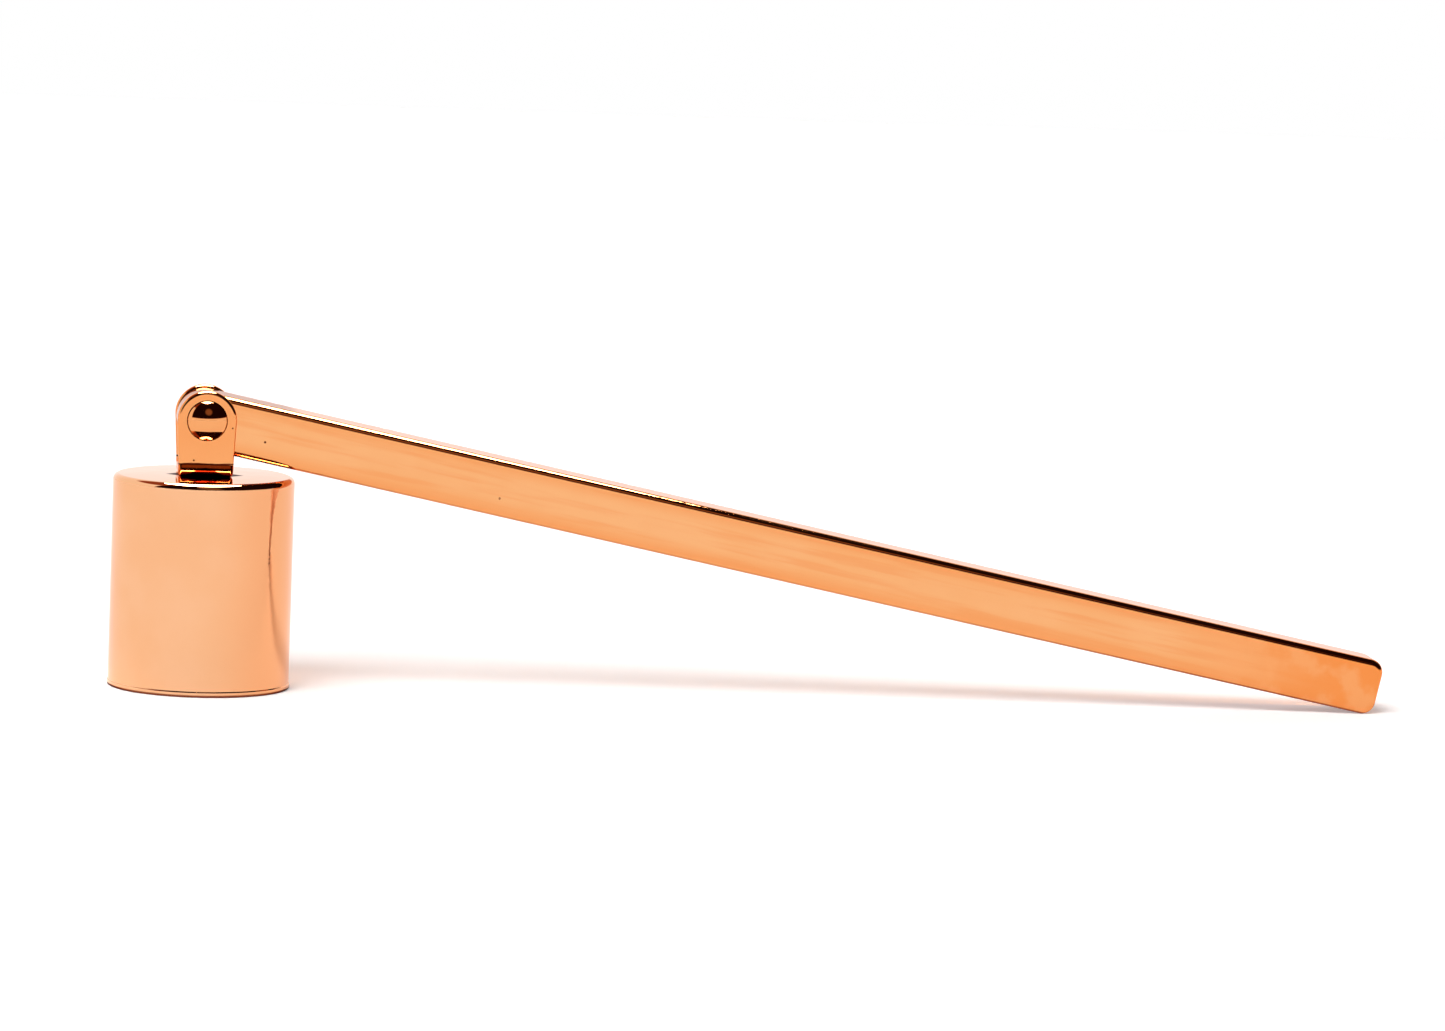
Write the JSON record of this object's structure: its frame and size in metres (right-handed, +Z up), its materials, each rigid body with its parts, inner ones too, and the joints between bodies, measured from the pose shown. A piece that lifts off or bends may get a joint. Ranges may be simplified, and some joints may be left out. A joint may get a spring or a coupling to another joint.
{
  "type": "candle snuffer",
  "caption": "Candle snuffer: a small round metal cup with a flat top, a folded riveted bracket and a long straight bar handle that hinges on it.",
  "frame": {"origin": "centre of the cup's mouth, on the surface that the cup stands on", "axes": "+X from the cup towards the handle's tip, +Y along the pivot, +Z up from the mouth towards the cup's flat top"},
  "size_m": [0.1891, 0.0266, 0.0438],
  "materials": {
    "cup_plate": "mirror polished, copper plated steel",
    "bracket_plate": "mirror polished, copper plated steel",
    "handle_plate": "mirror polished, copper plated steel",
    "rivet_plate": "polished, copper plated steel"
  },
  "bodies": {
    "cup_body": {"snuffer_cup": "cup_plate", "bracket": "bracket_plate", "pivot_rivet": "rivet_plate", "base_rivet": "rivet_plate"},
    "handle_body": {"handle": "handle_plate"}
  },
  "joints": [
    {"name": "handle_pivot", "type": "hinge", "parent": "cup_body", "child": "handle_body", "pos_m": [0, 0, 0.0395], "axis": [0, -1, 0], "range_deg": [-5.6, 210.4]}
  ]
}
